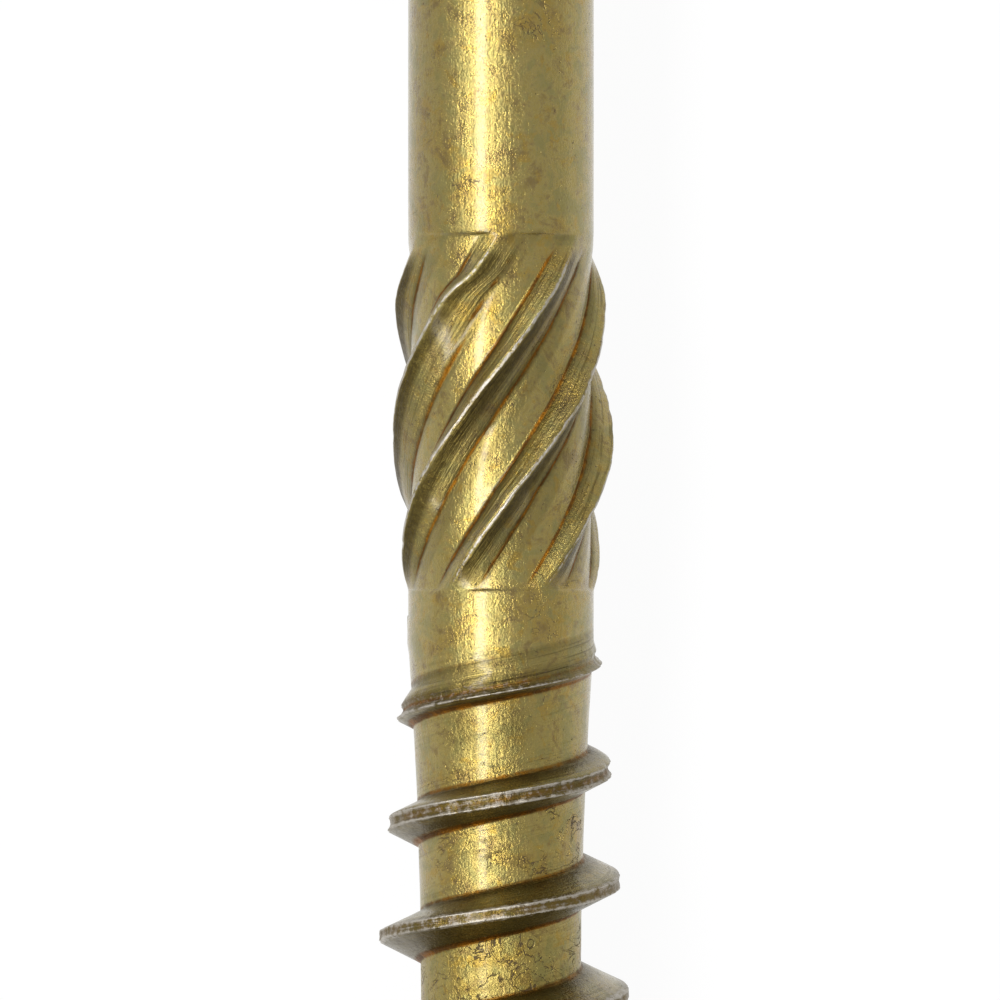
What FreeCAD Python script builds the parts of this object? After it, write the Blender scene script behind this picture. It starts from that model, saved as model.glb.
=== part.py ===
import FreeCAD, Part
import math
import os
import re

import Sketcher
from FreeCAD import Placement, Rotation, Vector

# An 8 mm countersunk construction screw, one piece of hardened and plated steel.
# It is modelled along its own axis, with the head's flat top at height 0 and the
# point at full length, and is then laid down the way it comes to rest.

# Driving sizes, in millimetres and degrees.
SIZES = {
    "length": 120.0,
    "thread_length": 50.0,
    "shank_dia": 5.8,
    "core_dia": 5.0,
    "thread_dia": 8.0,
    "pitch": 3.5,
    "crest_width": 0.31,
    "flank_angle": 24.5,
    "deepest_root_dia": 1.4,
    "root_gap": 0.18,
    "cut_margin": 0.2,
    "crest_offset": 0.6875,
    "taper_length": 10.9,
    "runout_length": 13.3,
    "runout_overlap": 1.6,
    "runout_gap": 0.005,
    "point_length": 8.5,
    "tip_dia": 0.5,
    "tip_crest_dia": 1.2,
    "reamer_dia": 7.0,
    "reamer_length": 11.15,
    "neck_length": 1.85,
    "ramp_in": 2.0,
    "ramp_out": 1.5,
    "rib_count": 6.0,
    "rib_lead": 26.9,
    "rib_crest": 0.22,
    "rib_head_side": 0.88,
    "rib_tip_side": 1.26,
    "rib_offset": 0.1,
    "flute_clearance": 0.03,
    "head_dia": 15.0,
    "head_angle": 90.0,
    "head_rim": 0.5,
    "recess_tip_dia": 6.75,
    "recess_waist_dia": 4.85,
    "recess_lobe_radius": 0.55,
    "recess_depth": 4.0,
}

# Sizes that follow from the driving ones, in the order they are worked out.
# Angles in a formula are in degrees.
FOLLOWING = {
    "neck_end": "length - thread_length",
    "reamer_end": "neck_end - neck_length",
    "reamer_start": "reamer_end - reamer_length",
    "head_bottom": "head_rim + (head_dia - shank_dia) / 2 / tan(head_angle / 2)",
    "taper_end": "neck_end + taper_length",
    "taper_break": "neck_end + taper_length * 0.36",
    "taper_dia": "core_dia + (shank_dia - core_dia) * 0.4",
    "crest_start": "neck_end - crest_offset",
    "full_turns": "floor((length - point_length - crest_start) / pitch)",
    "point_start": "crest_start + full_turns * pitch",
    "root_dia": "max(deepest_root_dia; thread_dia - (pitch - root_gap - crest_width) / tan(flank_angle))",
    "root_width": "crest_width + (thread_dia - root_dia) * tan(flank_angle)",
    "point_slope": "(core_dia - tip_dia) / 2 / (length - point_start)",
    "thread_end": "length - (root_dia - tip_dia) / 2 / point_slope - root_width / 2",
    "runout_start": "neck_end - runout_overlap",
    "runout_slope": "(thread_dia - max(shank_dia; core_dia)) / 2 / runout_length",
    "rest_tilt": "atan((head_dia - thread_dia) / 2 / (point_start - head_rim))",
    "rest_lift": "head_dia / 2 * cos(rest_tilt) + head_rim * sin(rest_tilt)",
    "rest_shift": "(length * cos(rest_tilt) + (tip_dia - head_dia) / 2 * sin(rest_tilt)) / 2",
    "rib_pitch": "rib_lead / rib_count",
    "rib_steps": "ceil((neck_end + rib_offset - reamer_start) / rib_pitch + 1)",
    "rib_start": "neck_end + rib_offset - rib_steps * rib_pitch",
    "rib_height": "(reamer_dia - shank_dia) / 2 - flute_clearance",
    "flute_rise": "rib_crest / 4",
    "flute_radius": "shank_dia / 2 + flute_clearance",
    "flute_outer": "reamer_dia / 2 + flute_rise",
    "flute_tip_lean": "(rib_tip_side - rib_crest / 2) / rib_height",
    "flute_head_lean": "(rib_head_side - rib_crest / 2) / rib_height",
    "lobe_centre": "recess_tip_dia / 2 - recess_lobe_radius",
    "waist_inset": "recess_lobe_radius - recess_waist_dia / 2",
    "waist_centre": "(lobe_centre ^ 2 - waist_inset ^ 2) / 2 / (lobe_centre * cos(30) + waist_inset)",
    "waist_radius": "waist_centre - recess_waist_dia / 2",
    "joint_x": "lobe_centre + recess_lobe_radius * (waist_centre * cos(30) - lobe_centre) / (recess_lobe_radius + waist_radius)",
    "joint_y": "recess_lobe_radius * waist_centre * sin(30) / (recess_lobe_radius + waist_radius)",
    "joint_radius": "sqrt(joint_x ^ 2 + joint_y ^ 2)",
    "joint_angle": "atan2(joint_y; joint_x) / 1 deg",
}

LOBES = 6


def fill_sheet(doc):
    """Write the driving sizes, and the ones that follow, into the document's sheet."""
    sheet = doc.addObject("Spreadsheet::Sheet", "sizes")
    rows = [(alias, repr(value)) for alias, value in SIZES.items()]
    rows += [(alias, "=" + formula) for alias, formula in FOLLOWING.items()]
    for row, (alias, content) in enumerate(rows, start=1):
        sheet.set(f"A{row}", alias)
        sheet.set(f"B{row}", content)
        sheet.setAlias(f"B{row}", alias)
    doc.recompute()
    return sheet


def bound(formula):
    """Return the formula with each of the sheet's aliases given its full name."""
    names = "|".join(sorted({*SIZES, *FOLLOWING}, key=len, reverse=True))
    return re.sub(rf"\b({names})\b", r"sizes.\1", formula)


def value_of(sheet, formula):
    """Work out a formula of the sheet's aliases as a plain number."""
    result = sheet.evalExpression(formula)
    return float(getattr(result, "Value", result))


def origin_feature(body, role):
    """Return the body's own origin plane or axis that has the given role."""
    for feature in body.Origin.OriginFeatures:
        if feature.Role == role:
            return feature
    raise LookupError(role)


def arc_between(start, end, radius, side):
    """Return the short arc from start to end, its centre to the left when side is 1."""
    chord = end - start
    half = chord.Length / 2
    across = Vector(-chord.y, chord.x, 0).normalize()
    centre = (start + end) * 0.5 + across * side * math.sqrt(radius ** 2 - half ** 2)
    first, last = (start, end) if side > 0 else (end, start)
    first_angle = math.atan2(first.y - centre.y, first.x - centre.x)
    last_angle = math.atan2(last.y - centre.y, last.x - centre.x)
    return Part.ArcOfCircle(Part.Circle(centre, Vector(0, 0, 1), radius), first_angle, last_angle)


def outline(body, sheet, name, role, points, arcs=None):
    """Sketch a closed outline whose corners and arcs are bound to the sheet.

    Each point is a pair of formulas. arcs maps the number of a side to the formula
    of its radius and to the side its centre is on: 1 is the left, -1 the right.
    """
    arcs = arcs or {}
    sketch = body.newObject("Sketcher::SketchObject", name)
    sketch.AttachmentSupport = [(origin_feature(body, role), "")]
    sketch.MapMode = "FlatFace"
    corners = [Vector(value_of(sheet, x), value_of(sheet, y), 0) for x, y in points]
    count = len(points)
    ends = []
    for index in range(count):
        start = corners[index]
        end = corners[(index + 1) % count]
        if index in arcs:
            radius, side = arcs[index]
            sketch.addGeometry(arc_between(start, end, value_of(sheet, radius), side))
            ends.append((1, 2) if side > 0 else (2, 1))
        else:
            sketch.addGeometry(Part.LineSegment(start, end))
            ends.append((1, 2))
    for index in range(count):
        following = (index + 1) % count
        joint = (index, ends[index][1], following, ends[following][0])
        sketch.addConstraint(Sketcher.Constraint("Coincident", *joint))
    for index, point in enumerate(points):
        for axis, direction, formula in ((-2, "X", point[0]), (-1, "Y", point[1])):
            corner = (index, ends[index][0])
            if formula == "0":
                sketch.addConstraint(Sketcher.Constraint("PointOnObject", *corner, axis))
                continue
            distance = value_of(sheet, formula)
            rule = Sketcher.Constraint("Distance" + direction, -1, 1, *corner, distance)
            number = sketch.addConstraint(rule)
            sketch.setExpression(f"Constraints[{number}]", bound(formula))
    for index, (radius, _) in arcs.items():
        rule = Sketcher.Constraint("Radius", index, value_of(sheet, radius))
        number = sketch.addConstraint(rule)
        sketch.setExpression(f"Constraints[{number}]", bound(radius))
    return sketch


def turn(body, kind, name, sketch):
    """Revolve a sketch once round the screw's axis, to add or to cut material."""
    feature = body.newObject(f"PartDesign::{kind}", name)
    feature.Profile = sketch
    feature.ReferenceAxis = (sketch, ["V_Axis"])
    feature.Angle = 360
    return feature


def helix(body, kind, name, sketch, lead, height):
    """Carry a sketch along a right-hand helix round the screw's axis."""
    feature = body.newObject(f"PartDesign::{kind}", name)
    feature.Profile = sketch
    feature.ReferenceAxis = (sketch, ["V_Axis"])
    feature.Mode = "pitch-height-angle"
    feature.setExpression("Pitch", bound(lead))
    feature.setExpression("Height", bound(height))
    return feature


def blank(body, sheet):
    """Turn the plain blank: head, shank, raised band, neck, tapered core and point."""
    points = [
        ("0", "0"),
        ("head_dia / 2", "0"),
        ("head_dia / 2", "head_rim"),
        ("shank_dia / 2", "head_bottom"),
        ("shank_dia / 2", "reamer_start"),
        ("reamer_dia / 2", "reamer_start + ramp_in"),
        ("reamer_dia / 2", "reamer_end - ramp_out"),
        ("shank_dia / 2", "reamer_end"),
        ("shank_dia / 2", "neck_end"),
        ("taper_dia / 2", "taper_break"),
        ("core_dia / 2", "taper_end"),
        ("core_dia / 2", "point_start"),
        ("tip_dia / 2", "length"),
        ("0", "length"),
    ]
    sketch = outline(body, sheet, "blank_outline", "XZ_Plane", points)
    return turn(body, "Revolution", "blank", sketch)


def flutes(body, sheet):
    """Cut the steep flutes that leave the reamer's leaning ribs standing."""
    tip_edge = "rib_start + rib_crest / 2 - flute_rise * flute_tip_lean"
    head_edge = "rib_start + rib_pitch - rib_crest / 2 + flute_rise * flute_head_lean"
    points = [
        ("flute_radius", "rib_start + rib_tip_side"),
        ("flute_outer", tip_edge),
        ("flute_outer", head_edge),
        ("flute_radius", "rib_start + rib_pitch - rib_head_side"),
    ]
    height = "reamer_end - rib_start + rib_crest"
    count = round(value_of(sheet, "rib_count"))
    for index in range(count):
        sketch = outline(body, sheet, f"flute_outline_{index}", "XZ_Plane", points)
        about_axis = Rotation(Vector(0, 1, 0), 360 * index / count)
        sketch.AttachmentOffset = Placement(Vector(), about_axis)
        helix(body, "SubtractiveHelix", f"flute_{index}", sketch, "rib_lead", height)


def thread(body, sheet):
    """Add the coarse single-start thread, rooted deep enough to carry on down the point."""
    points = [
        ("root_dia / 2", "crest_start - root_width / 2"),
        ("thread_dia / 2", "crest_start - crest_width / 2"),
        ("thread_dia / 2", "crest_start + crest_width / 2"),
        ("root_dia / 2", "crest_start + root_width / 2"),
    ]
    sketch = outline(body, sheet, "thread_outline", "XZ_Plane", points)
    return helix(body, "AdditiveHelix", "thread", sketch, "pitch", "thread_end - crest_start")


def thread_runout(body, sheet):
    """Cut the thread's first turns down to a cone that rises from the neck."""
    inner = "max(shank_dia; core_dia) / 2 + runout_gap"
    outer = "thread_dia / 2 + cut_margin"
    points = [
        (inner, "runout_start"),
        (outer, "runout_start"),
        (outer, f"runout_start + ({outer} - ({inner})) / runout_slope"),
    ]
    sketch = outline(body, sheet, "runout_outline", "XZ_Plane", points)
    return turn(body, "Groove", "thread_runout", sketch)


def point_envelope(body, sheet):
    """Cut the thread down to a cone over the point."""
    outer = "thread_dia / 2 + cut_margin"
    points = [
        ("tip_crest_dia / 2", "length + cut_margin"),
        ("thread_dia / 2", "point_start + crest_width"),
        (outer, "point_start + crest_width"),
        (outer, "length + cut_margin"),
    ]
    sketch = outline(body, sheet, "envelope_outline", "XZ_Plane", points)
    return turn(body, "Groove", "point_envelope", sketch)


def recess(body, sheet):
    """Sink the six-lobed socket for the driving bit into the head's flat top."""
    points = []
    arcs = {}
    for lobe in range(LOBES):
        for turned in (f"{60 * lobe} - joint_angle", f"{60 * lobe} + joint_angle"):
            points.append((f"joint_radius * cos({turned})", f"joint_radius * sin({turned})"))
        arcs[2 * lobe] = ("recess_lobe_radius", 1)
        arcs[2 * lobe + 1] = ("waist_radius", -1)
    sketch = outline(body, sheet, "recess_outline", "XY_Plane", points, arcs)
    feature = body.newObject("PartDesign::Pocket", "recess")
    feature.Profile = sketch
    feature.Reversed = True
    feature.setExpression("Length", bound("recess_depth"))
    return feature


def lay_down(body):
    """Lay the screw on its head's rim and its last full turn, pointing along +X."""
    body.setExpression("Placement.Base.x", bound("0 - rest_shift"))
    body.setExpression("Placement.Base.z", bound("rest_lift"))
    body.Placement.Rotation = Rotation(Vector(0, 1, 0), 90)
    body.setExpression("Placement.Rotation.Angle", bound("90 deg + rest_tilt"))


def faults(doc, bodies):
    """List what failed to build: objects in error and bodies with no valid solid."""
    found = [item.Name for item in doc.Objects if {"Invalid", "Error"} & set(item.State)]
    for body in bodies:
        shape = body.Shape
        if shape.isNull() or not shape.isValid() or len(shape.Solids) != 1:
            found.append(body.Label)
    return found


def build():
    """Build the screw, check it and write its one solid."""
    doc = FreeCAD.newDocument("construction_screw")
    sheet = fill_sheet(doc)
    screw = doc.addObject("PartDesign::Body", "construction_screw")
    screw.Label = "construction_screw"
    for section in SECTIONS:
        before = screw.Shape.Volume if not screw.Shape.isNull() else 0
        section(screw, sheet)
        doc.recompute()
        print(f"{section.__name__}: {screw.Shape.Volume - before:+.1f} mm3")
    lay_down(screw)
    doc.recompute()
    failed = faults(doc, [screw])
    if failed:
        raise RuntimeError("not built: " + ", ".join(failed))
    os.makedirs("parts", exist_ok=True)
    screw.Shape.exportStep(f"parts/{screw.Label}.step")


SECTIONS = (blank, flutes, thread, thread_runout, point_envelope, recess)

build()
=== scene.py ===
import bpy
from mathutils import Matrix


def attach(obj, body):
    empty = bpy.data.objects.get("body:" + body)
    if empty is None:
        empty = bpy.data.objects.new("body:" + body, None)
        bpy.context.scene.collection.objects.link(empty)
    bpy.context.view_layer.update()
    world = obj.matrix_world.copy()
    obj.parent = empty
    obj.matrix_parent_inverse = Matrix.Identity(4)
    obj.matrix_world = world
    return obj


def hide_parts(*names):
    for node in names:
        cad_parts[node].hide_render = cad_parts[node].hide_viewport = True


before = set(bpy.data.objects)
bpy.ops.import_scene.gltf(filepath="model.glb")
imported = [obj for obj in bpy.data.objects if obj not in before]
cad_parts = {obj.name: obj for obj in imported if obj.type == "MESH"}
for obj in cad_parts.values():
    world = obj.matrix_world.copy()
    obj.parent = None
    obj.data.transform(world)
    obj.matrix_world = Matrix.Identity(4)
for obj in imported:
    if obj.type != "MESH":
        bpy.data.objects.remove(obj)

"""A yellow-plated construction screw, lying on a pale floor and seen from above.

The camera looks straight down on the middle of the screw, where the plain shank,
the band of leaning ribs and the first turns of the thread meet. Sizes along and
across the screw are in millimetres and angles in degrees, measured about the
screw's own axis from the head's flat top; what is built is in metres.
"""

import logging
import math
from dataclasses import dataclass
from enum import IntEnum
from typing import Iterator

import bpy
from mathutils import Matrix, Vector, noise

LOG = logging.getLogger("construction_screw")

Span = tuple[float, float]
Colour = tuple[float, float, float]
Outlet = bpy.types.NodeSocket

MILLIMETRE = 0.001
PER_METRE = 1000.0
FULL_TURN = 360.0
WHITE = (1.0, 1.0, 1.0, 1.0)
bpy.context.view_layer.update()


# ---- Small helpers ----


def deselect_all() -> None:
    """Leave nothing selected, so that an operator acts only on what is new."""
    bpy.ops.object.select_all(action="DESELECT")
    bpy.context.view_layer.objects.active = None


def ease(value: float, low: float, high: float) -> float:
    """Return 0 below low, 1 above high, and a smooth step between them.

    Args:
        value: The number to place.
        low: Where the step starts.
        high: Where the step ends.

    Returns:
        A number from 0 to 1.
    """
    share = min(max((value - low) / (high - low), 0.0), 1.0)
    return share * share * (3.0 - 2.0 * share)


def hump(value: float, centre: float, half_width: float) -> float:
    """Return a soft peak of height 1 round a centre."""
    return math.exp(-(((value - centre) / half_width) ** 2))


def soft_max(first: float, second: float, blend: float) -> float:
    """Return the greater of two numbers, rounded where they meet."""
    near = max(blend - abs(first - second), 0.0)
    return max(first, second) + near * near / (4.0 * blend)


def soft_min(first: float, second: float, blend: float) -> float:
    """Return the smaller of two numbers, rounded where they meet."""
    return -soft_max(-first, -second, blend)


def crowd(share: float, pull: float) -> float:
    """Move a share towards the nearer of 0 and 1, so that even steps crowd there."""
    return share - pull * math.sin(2.0 * math.pi * share) / (2.0 * math.pi)


def around(angle: float) -> Span:
    """Return the cosine and the sine of an angle in degrees."""
    turned = math.radians(angle)
    return math.cos(turned), math.sin(turned)


def wave(x: float, y: float, z: float) -> float:
    """Return a smooth, repeatable noise from about -1 to 1."""
    return noise.noise(Vector((x, y, z)))


# ---- Where the screw lies, and the spots its skin is made of ----


@dataclass(frozen=True)
class Rest:
    """How the screw lies: on its head's rim and its last full turn of thread."""

    tilt: float = 1.8091
    shift: float = -59.8557
    lift: float = 7.51205

    def place(self, angle: float, height: float, radius: float) -> Vector:
        """Turn a place on the screw into a point of the scene.

        Args:
            angle: Degrees about the axis; 180 faces the camera, 0 the floor.
            height: Distance along the axis from the head's flat top.
            radius: Distance from the axis.

        Returns:
            The point, in metres.
        """
        away, right = around(angle)
        across, aside = radius * away, radius * right
        cosine, sine = around(self.tilt)
        x = height * cosine - across * sine + self.shift
        z = self.lift - across * cosine - height * sine
        return Vector((x, aside, z)) * MILLIMETRE

    @property
    def upward(self) -> Vector:
        """The direction square to the axis that points away from the floor."""
        cosine, sine = around(self.tilt)
        return Vector((sine, 0.0, cosine))

    @property
    def headward(self) -> Vector:
        """The direction along the axis towards the head."""
        cosine, sine = around(self.tilt)
        return Vector((-cosine, 0.0, sine))


class Zone(IntEnum):
    """The parts of a line of spots, in order from the socket's floor to the tip."""

    SOCKET = 0
    HEAD = 1
    SHANK = 2
    REAMER = 3
    NECK = 4
    THREAD = 5
    TIP = 6


@dataclass(frozen=True)
class Spot:
    """A point of the skin, and the marks it bears, each from 0 to 1.

    Attributes:
        worn: How far its plating is rubbed bright.
        hollow: How deep in a corner it is, where the yellow film gathers.
        shade_and_film: How dark it is painted: painted shade on flanks, along the reamer's ledge,
            down one side of the shank and beside the first turn, and the brown film on the
            thread's crests.
        torn: How flaky the rolled steel is under it.
        rolled: How clearly the rolling dies' lines show.
        along: How far along its rib or turn it is, in millimetres.
        across: How far it is from its crest, in millimetres.
    """

    zone: Zone
    row: int
    angle: float
    height: float
    radius: float
    worn: float = 0.0
    hollow: float = 0.0
    shade_and_film: float = 0.0
    torn: float = 0.0
    rolled: float = 0.0
    along: float = 0.0
    across: float = 0.0


MARKS = ("worn", "hollow", "shade_and_film", "torn", "rolled")
LINES = ("along", "across")


@dataclass(frozen=True)
class Column:
    """A line of spots down the screw, which leans with the ribs where it crosses them.

    Attributes:
        number: Its place round the screw.
        rib_place: Its distance along the axis from its own rib's crest.
        plain_angle: Its angle on the head and the shank.
        lean_origin: Its angle at the reamer's start.
        thread_angle: Its angle from the neck on, counted past full turns.
    """

    number: int
    rib_place: float
    plain_angle: float
    lean_origin: float
    thread_angle: float


# ---- The screw's sections ----


@dataclass(frozen=True)
class Socket:
    """The six-lobed socket that the driving bit goes into."""

    lobe_centre: float = 2.825
    lobe_radius: float = 0.55
    waist_centre: float = 3.906
    waist_radius: float = 1.481
    joint_angle: float = 10.08
    lobe_step: float = 60.0
    depth: float = 4.0
    floor_fillet: float = 0.12
    mouth_break: float = 0.1

    def outline(self, angle: float) -> float:
        """Return the radius of the socket's wall.

        Args:
            angle: Degrees about the axis.

        Returns:
            The radius, in millimetres.
        """
        half = self.lobe_step / 2
        aside = abs((angle + half) % self.lobe_step - half)
        centre, radius, side = self.lobe_centre, self.lobe_radius, 1.0
        if aside >= self.joint_angle:
            aside = half - aside
            centre, radius, side = self.waist_centre, self.waist_radius, -1.0
        along, off = (centre * share for share in around(aside))
        return along + side * math.sqrt(max(radius**2 - off**2, 0.0))

    def spots(self, column: Column) -> Iterator[Spot]:
        """Yield a column's spots from near the middle of the floor up to the mouth.

        Args:
            column: The column that the spots lie on.

        Returns:
            The spots, in order.
        """
        wall, floor = self.outline(column.plain_angle), self.depth
        fillet, lip = self.floor_fillet, self.mouth_break
        profile = [(share * wall, floor) for share in (0.2, 0.5, 0.8)]
        profile += [
            (wall - fillet, floor),
            (wall - fillet * 0.3, floor - fillet * 0.3),
            (wall, floor - fillet),
            (wall, floor * 0.7),
            (wall, floor * 0.35),
            (wall, lip),
            (wall + lip * 0.3, lip * 0.3),
        ]
        for row, (radius, height) in enumerate(profile):
            deep = 1.0 if row in (3, 4, 5) else 0.35
            yield Spot(Zone.SOCKET, row, column.plain_angle, height, radius, 0.0, deep)


@dataclass(frozen=True)
class Head:
    """The flat-topped head with its countersunk underside."""

    socket: Socket
    radius: float = 7.5
    rim: float = 0.5
    rim_rounding: float = 0.12
    shank_radius: float = 2.9
    neck_fillet: float = 0.5

    def spots(self, column: Column) -> Iterator[Spot]:
        """Yield a column's spots from the socket's mouth to the foot of the cone.

        Args:
            column: The column that the spots lie on.

        Returns:
            The spots, in order.
        """
        mouth = self.socket.outline(column.plain_angle) + self.socket.mouth_break
        flat_end = self.radius - self.rim_rounding
        profile = [(mouth + 0.03, 0.0, 0.0)]
        for share in (0.2, 0.4, 0.6, 0.8):
            profile.append((mouth + (flat_end - mouth) * share, 0.0, 0.0))
        profile.append((flat_end - 0.05, 0.0, 0.0))
        for turned in (0.0, 30.0, 60.0, 90.0):
            up, out = around(turned)
            down = self.rim_rounding * (1.0 - up)
            profile.append((flat_end + self.rim_rounding * out, down, 0.7))
        profile += [
            (self.radius, self.rim - 0.08, 0.5),
            (self.radius - 0.02, self.rim + 0.02, 0.7),
            (self.radius - 0.12, self.rim + 0.13, 0.2),
        ]
        foot = self.rim + self.radius - self.shank_radius
        for share in (0.1, 0.25, 0.4, 0.55, 0.7, 0.82):
            height = self.rim + (foot - self.rim) * share
            profile.append((self.radius + self.rim - height, height, 0.0))
        for step in range(5):
            height = foot - self.neck_fillet + step * self.neck_fillet / 2
            cone = self.radius + self.rim - height
            profile.append((soft_max(cone, self.shank_radius, self.neck_fillet), height, 0.0))
        for row, (radius, height, worn) in enumerate(profile):
            yield Spot(Zone.HEAD, row, column.plain_angle, height, radius, worn)


@dataclass(frozen=True)
class Reamer:
    """The raised band of six steep ribs that lean like a right-hand thread."""

    start: float = 57.0
    end: float = 68.15
    crest_radius: float = 3.45
    floor_radius: float = 2.81
    shank_radius: float = 2.9
    rib_count: int = 6
    lead: float = 26.9
    crest_origin: float = 70.1
    crest_half: float = 0.09
    head_side: float = 0.88
    tip_side: float = 1.28
    wide_rib: int = 0
    wide_tip_side: float = 1.9
    rise_start: float = 57.5
    rise_slope: float = 0.28
    shoulder_radius: float = 3.31
    shoulder: Span = (59.0, 62.5)
    knee_radius: float = 3.1
    knee_height: float = 67.4
    fall_start: float = 64.8
    off_centre: float = 0.1
    off_centre_at: float = 63.3
    off_centre_reach: float = 2.4
    ledge: float = 0.12
    soft_ledge: float = 1.4
    end_ledge: float = 0.1
    dig: float = 0.1
    dig_at: float = 57.9
    dig_reach: float = 1.1
    bend: float = 0.42
    bending: Span = (58.2, 59.0)
    widening: Span = (58.0, 61.0)
    crest_wear: float = 0.11
    nick_depth: float = 0.12
    nick_reach: float = 0.15
    fold_depth: float = 0.03
    fold_place: float = -0.3
    fold_reach: float = 0.06
    line_along: float = 1.25
    line_across: float = 0.75
    rows: int = 84
    row_crowding: float = 0.6
    place_crowding: float = 0.72
    lean_in: float = 1.8

    def places(self) -> list[float]:
        """Return where a rib's columns run, as distances from its crest.

        They crowd towards the rib's edges and corners, which stay crisp there.

        Returns:
            The distances, from the tip side to the head side.
        """
        half = self.lead / self.rib_count / 2
        corners = (half, self.tip_side, self.crest_half, -self.crest_half, -self.head_side, -half)
        counts = (5, 9, 2, 8, 4)
        found: list[float] = []
        for (first, last), count in zip(zip(corners, corners[1:]), counts):
            for step in range(count):
                share = crowd(step / count, self.place_crowding)
                found.append(first + (last - first) * share)
        return found

    def lean(self, height: float) -> float:
        """Return the angle of the first rib's crest at a height."""
        return FULL_TURN * (height - self.crest_origin) / self.lead

    def columns(self) -> list[Column]:
        """Work out the screw's columns.

        Returns:
            The columns, in order round the screw.
        """
        places = self.places()
        count = len(places) * self.rib_count
        rib_step = FULL_TURN / self.rib_count
        plain, threaded = self.lean(self.start), self.lean(self.end)
        found = []
        for number in range(count):
            place = places[number % len(places)]
            own = rib_step * (number // len(places)) - FULL_TURN * place / self.lead
            even = number * FULL_TURN / count - rib_step / 2
            found.append(Column(number, place, plain + even, own, threaded + even))
        return found

    def angle(self, column: Column, height: float) -> float:
        """Return a column's angle on the reamer or just before it.

        Args:
            column: The column.
            height: The height along the screw.

        Returns:
            The angle, in degrees.
        """
        if height >= self.start:
            return self.lean(height) + column.lean_origin
        own = self.lean(self.start) + column.lean_origin
        share = ease(height, self.start - self.lean_in, self.start)
        return column.plain_angle + (own - column.plain_angle) * share

    def shape(self, place: float, tip_side: float) -> float:
        """Return a rib's height at a distance from its crest.

        Args:
            place: The distance, positive towards the tip.
            tip_side: How far the rib's flank towards the tip reaches.

        Returns:
            The height, as a share of the whole rib's.
        """
        if place > 0:
            rise = (tip_side - place) / (tip_side - self.crest_half)
            rise *= 0.7 + 0.3 * rise
        else:
            rise = (self.head_side + place) / (self.head_side - self.crest_half)
        return soft_max(soft_min(rise, 1.0, 0.08), 0.0, 0.05)

    def crest(self, height: float, angle: float, rib: int) -> float:
        """Return the radius that a rib's crest reaches.

        Args:
            height: The height along the screw.
            angle: The crest's angle there.
            rib: The rib's number.

        Returns:
            The radius, which rises from the shank and falls back to it.
        """
        full = self.shoulder_radius
        full += (self.crest_radius - full) * ease(height, *self.shoulder)
        aside = hump(height, self.off_centre_at, self.off_centre_reach) - 0.3
        full += self.off_centre * aside * around(angle)[1]
        full += 0.025 * wave(height * 0.9, rib * 7.3, 1.0)
        rising = self.shank_radius + (height - self.rise_start) * self.rise_slope
        fall = (self.crest_radius - self.knee_radius) / (self.knee_height - self.fall_start)
        falling = self.knee_radius + (self.knee_height - height) * fall
        end_fall = (self.knee_radius - self.shank_radius) / (self.end - self.knee_height)
        ending = self.shank_radius + (self.end - height) * end_fall
        top = soft_min(soft_min(full, rising, 0.12), soft_min(falling, ending, 0.05), 0.06)
        return max(top, self.shank_radius)

    def squareness(self, angle: float) -> float:
        """Return how square the ledges are: sharp above and below, soft at the sides."""
        return 0.9 * abs(around(angle)[0])

    def floor(self, height: float, angle: float) -> float:
        """Return the radius of the flutes' floor, which steps down at the ledges.

        Args:
            height: The height along the screw.
            angle: Degrees about the axis.

        Returns:
            The radius, in millimetres.
        """
        sharp = self.squareness(angle)
        settle = sharp * ease(height - self.start, 0.0, self.ledge)
        settle += (1.0 - sharp) * ease(height - self.start, 0.0, self.soft_ledge)
        settle *= ease(self.end - height, 0.0, self.end_ledge)
        floor = self.shank_radius + (self.floor_radius - self.shank_radius) * settle
        floor += 0.012 * wave(height * 1.3, angle * 0.05, 2.0) * settle
        return floor - self.dig * hump(height, self.dig_at, self.dig_reach) * settle * sharp

    def wander(self, height: float, rib: int) -> float:
        """Return how far a rib strays along the axis from an even lean.

        Args:
            height: The height along the screw.
            rib: The rib's number.

        Returns:
            The distance, positive towards the head.
        """
        wander = 0.07 * wave(height * 1.1, rib * 3.7, 6.0)
        wander += 0.03 * wave(height * 4.0, rib * 3.7, 9.0)
        if rib == self.wide_rib:
            wander -= self.bend * (1.0 - ease(height, *self.bending))
        return wander

    def tip_reach(self, height: float, rib: int) -> float:
        """Return how far a rib's flank towards the tip reaches from its crest.

        Args:
            height: The height along the screw.
            rib: The rib's number.

        Returns:
            The distance, in millimetres.
        """
        reach = self.tip_side + 0.12 * wave(height * 0.5, rib * 2.9, 3.0)
        if rib == self.wide_rib:
            reach += (self.wide_tip_side - self.tip_side) * ease(height, *self.widening)
        return reach

    def scored(self, height: float, rib: int, place: float, tip_side: float) -> float:
        """Return how deep nicks, grooves and folds cut into a whole rib.

        Args:
            height: The height along the screw.
            rib: The rib's number.
            place: Distance from the rib's crest, positive towards the tip.
            tip_side: How far the rib's flank towards the tip reaches.

        Returns:
            The depth, in millimetres.
        """
        nick = max(wave(height * 3.1, rib * 5.1, 4.0) - 0.15, 0.0)
        fold = max(wave(height * 0.6, rib * 4.3, 8.0) + 0.5, 0.0)
        depth = self.nick_depth * hump(place, 0.0, self.nick_reach) * nick
        depth += self.fold_depth * hump(place, self.fold_place, self.fold_reach) * fold
        depth += 0.04 * hump(place, tip_side, 0.25)
        return depth + 0.03 * hump(place, -self.head_side, 0.2)

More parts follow.
